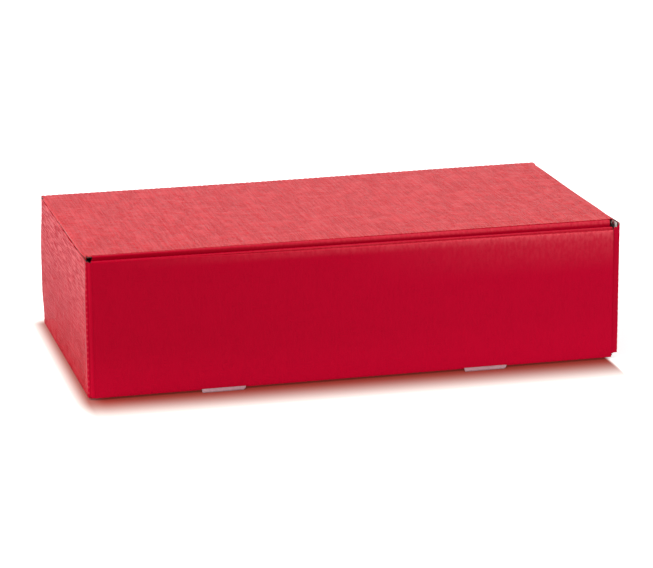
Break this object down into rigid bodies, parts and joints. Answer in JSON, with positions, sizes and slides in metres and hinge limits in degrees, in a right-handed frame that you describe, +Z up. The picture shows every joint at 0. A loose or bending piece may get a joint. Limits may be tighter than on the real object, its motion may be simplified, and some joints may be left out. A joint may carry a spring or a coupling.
{
  "type": "wine gift box",
  "caption": "Low oblong gift box of red linen-embossed corrugated board for wine bottles lying side by side, with a hinged tuck-in lid and a locked double front wall.",
  "frame": {"origin": "middle of the underside, on the surface that the box stands on", "axes": "+X along the hinge to the right, front wall towards -Y, +Z up"},
  "size_m": [0.34, 0.175, 0.0885],
  "materials": {
    "red_board": "red linen-embossed liner, satin",
    "inner_liner": "uncoated white inner liner, matt"
  },
  "bodies": {
    "tray": {"base_panel": "red_board", "front_outer_wall": "red_board", "front_top_ledge": "red_board", "front_inner_wall": "red_board", "left_lock_tab": "inner_liner", "right_lock_tab": "inner_liner", "left_side_wall": "red_board", "right_side_wall": "red_board", "front_left_dust_flap": "red_board", "front_right_dust_flap": "red_board", "back_wall": "red_board", "back_left_dust_flap": "red_board", "back_right_dust_flap": "red_board"},
    "lid": {"lid_panel": "red_board"},
    "tuck_flap": {"lid_front_flap": "red_board"},
    "left_ear": {"lid_left_side_flap": "red_board"},
    "right_ear": {"lid_right_side_flap": "red_board"}
  },
  "joints": [
    {"name": "lid_hinge", "type": "hinge", "parent": "tray", "child": "lid", "pos_m": [0, 0.0875, 0.087], "axis": [-1, 0, 0], "range_deg": [-0.5, 179.5]},
    {"name": "tuck_flap_fold", "type": "hinge", "parent": "lid", "child": "tuck_flap", "pos_m": [0, -0.08029, 0.08676], "axis": [1, 0, 0], "range_deg": [0, 80]},
    {"name": "left_ear_fold", "type": "hinge", "parent": "lid", "child": "left_ear", "pos_m": [-0.1665, 0.00104, 0.08605], "axis": [0, -1, 0.0087], "range_deg": [0, 85]},
    {"name": "right_ear_fold", "type": "hinge", "parent": "lid", "child": "right_ear", "pos_m": [0.1665, 0.00104, 0.08605], "axis": [0, 1, -0.0087], "range_deg": [0, 85]}
  ]
}
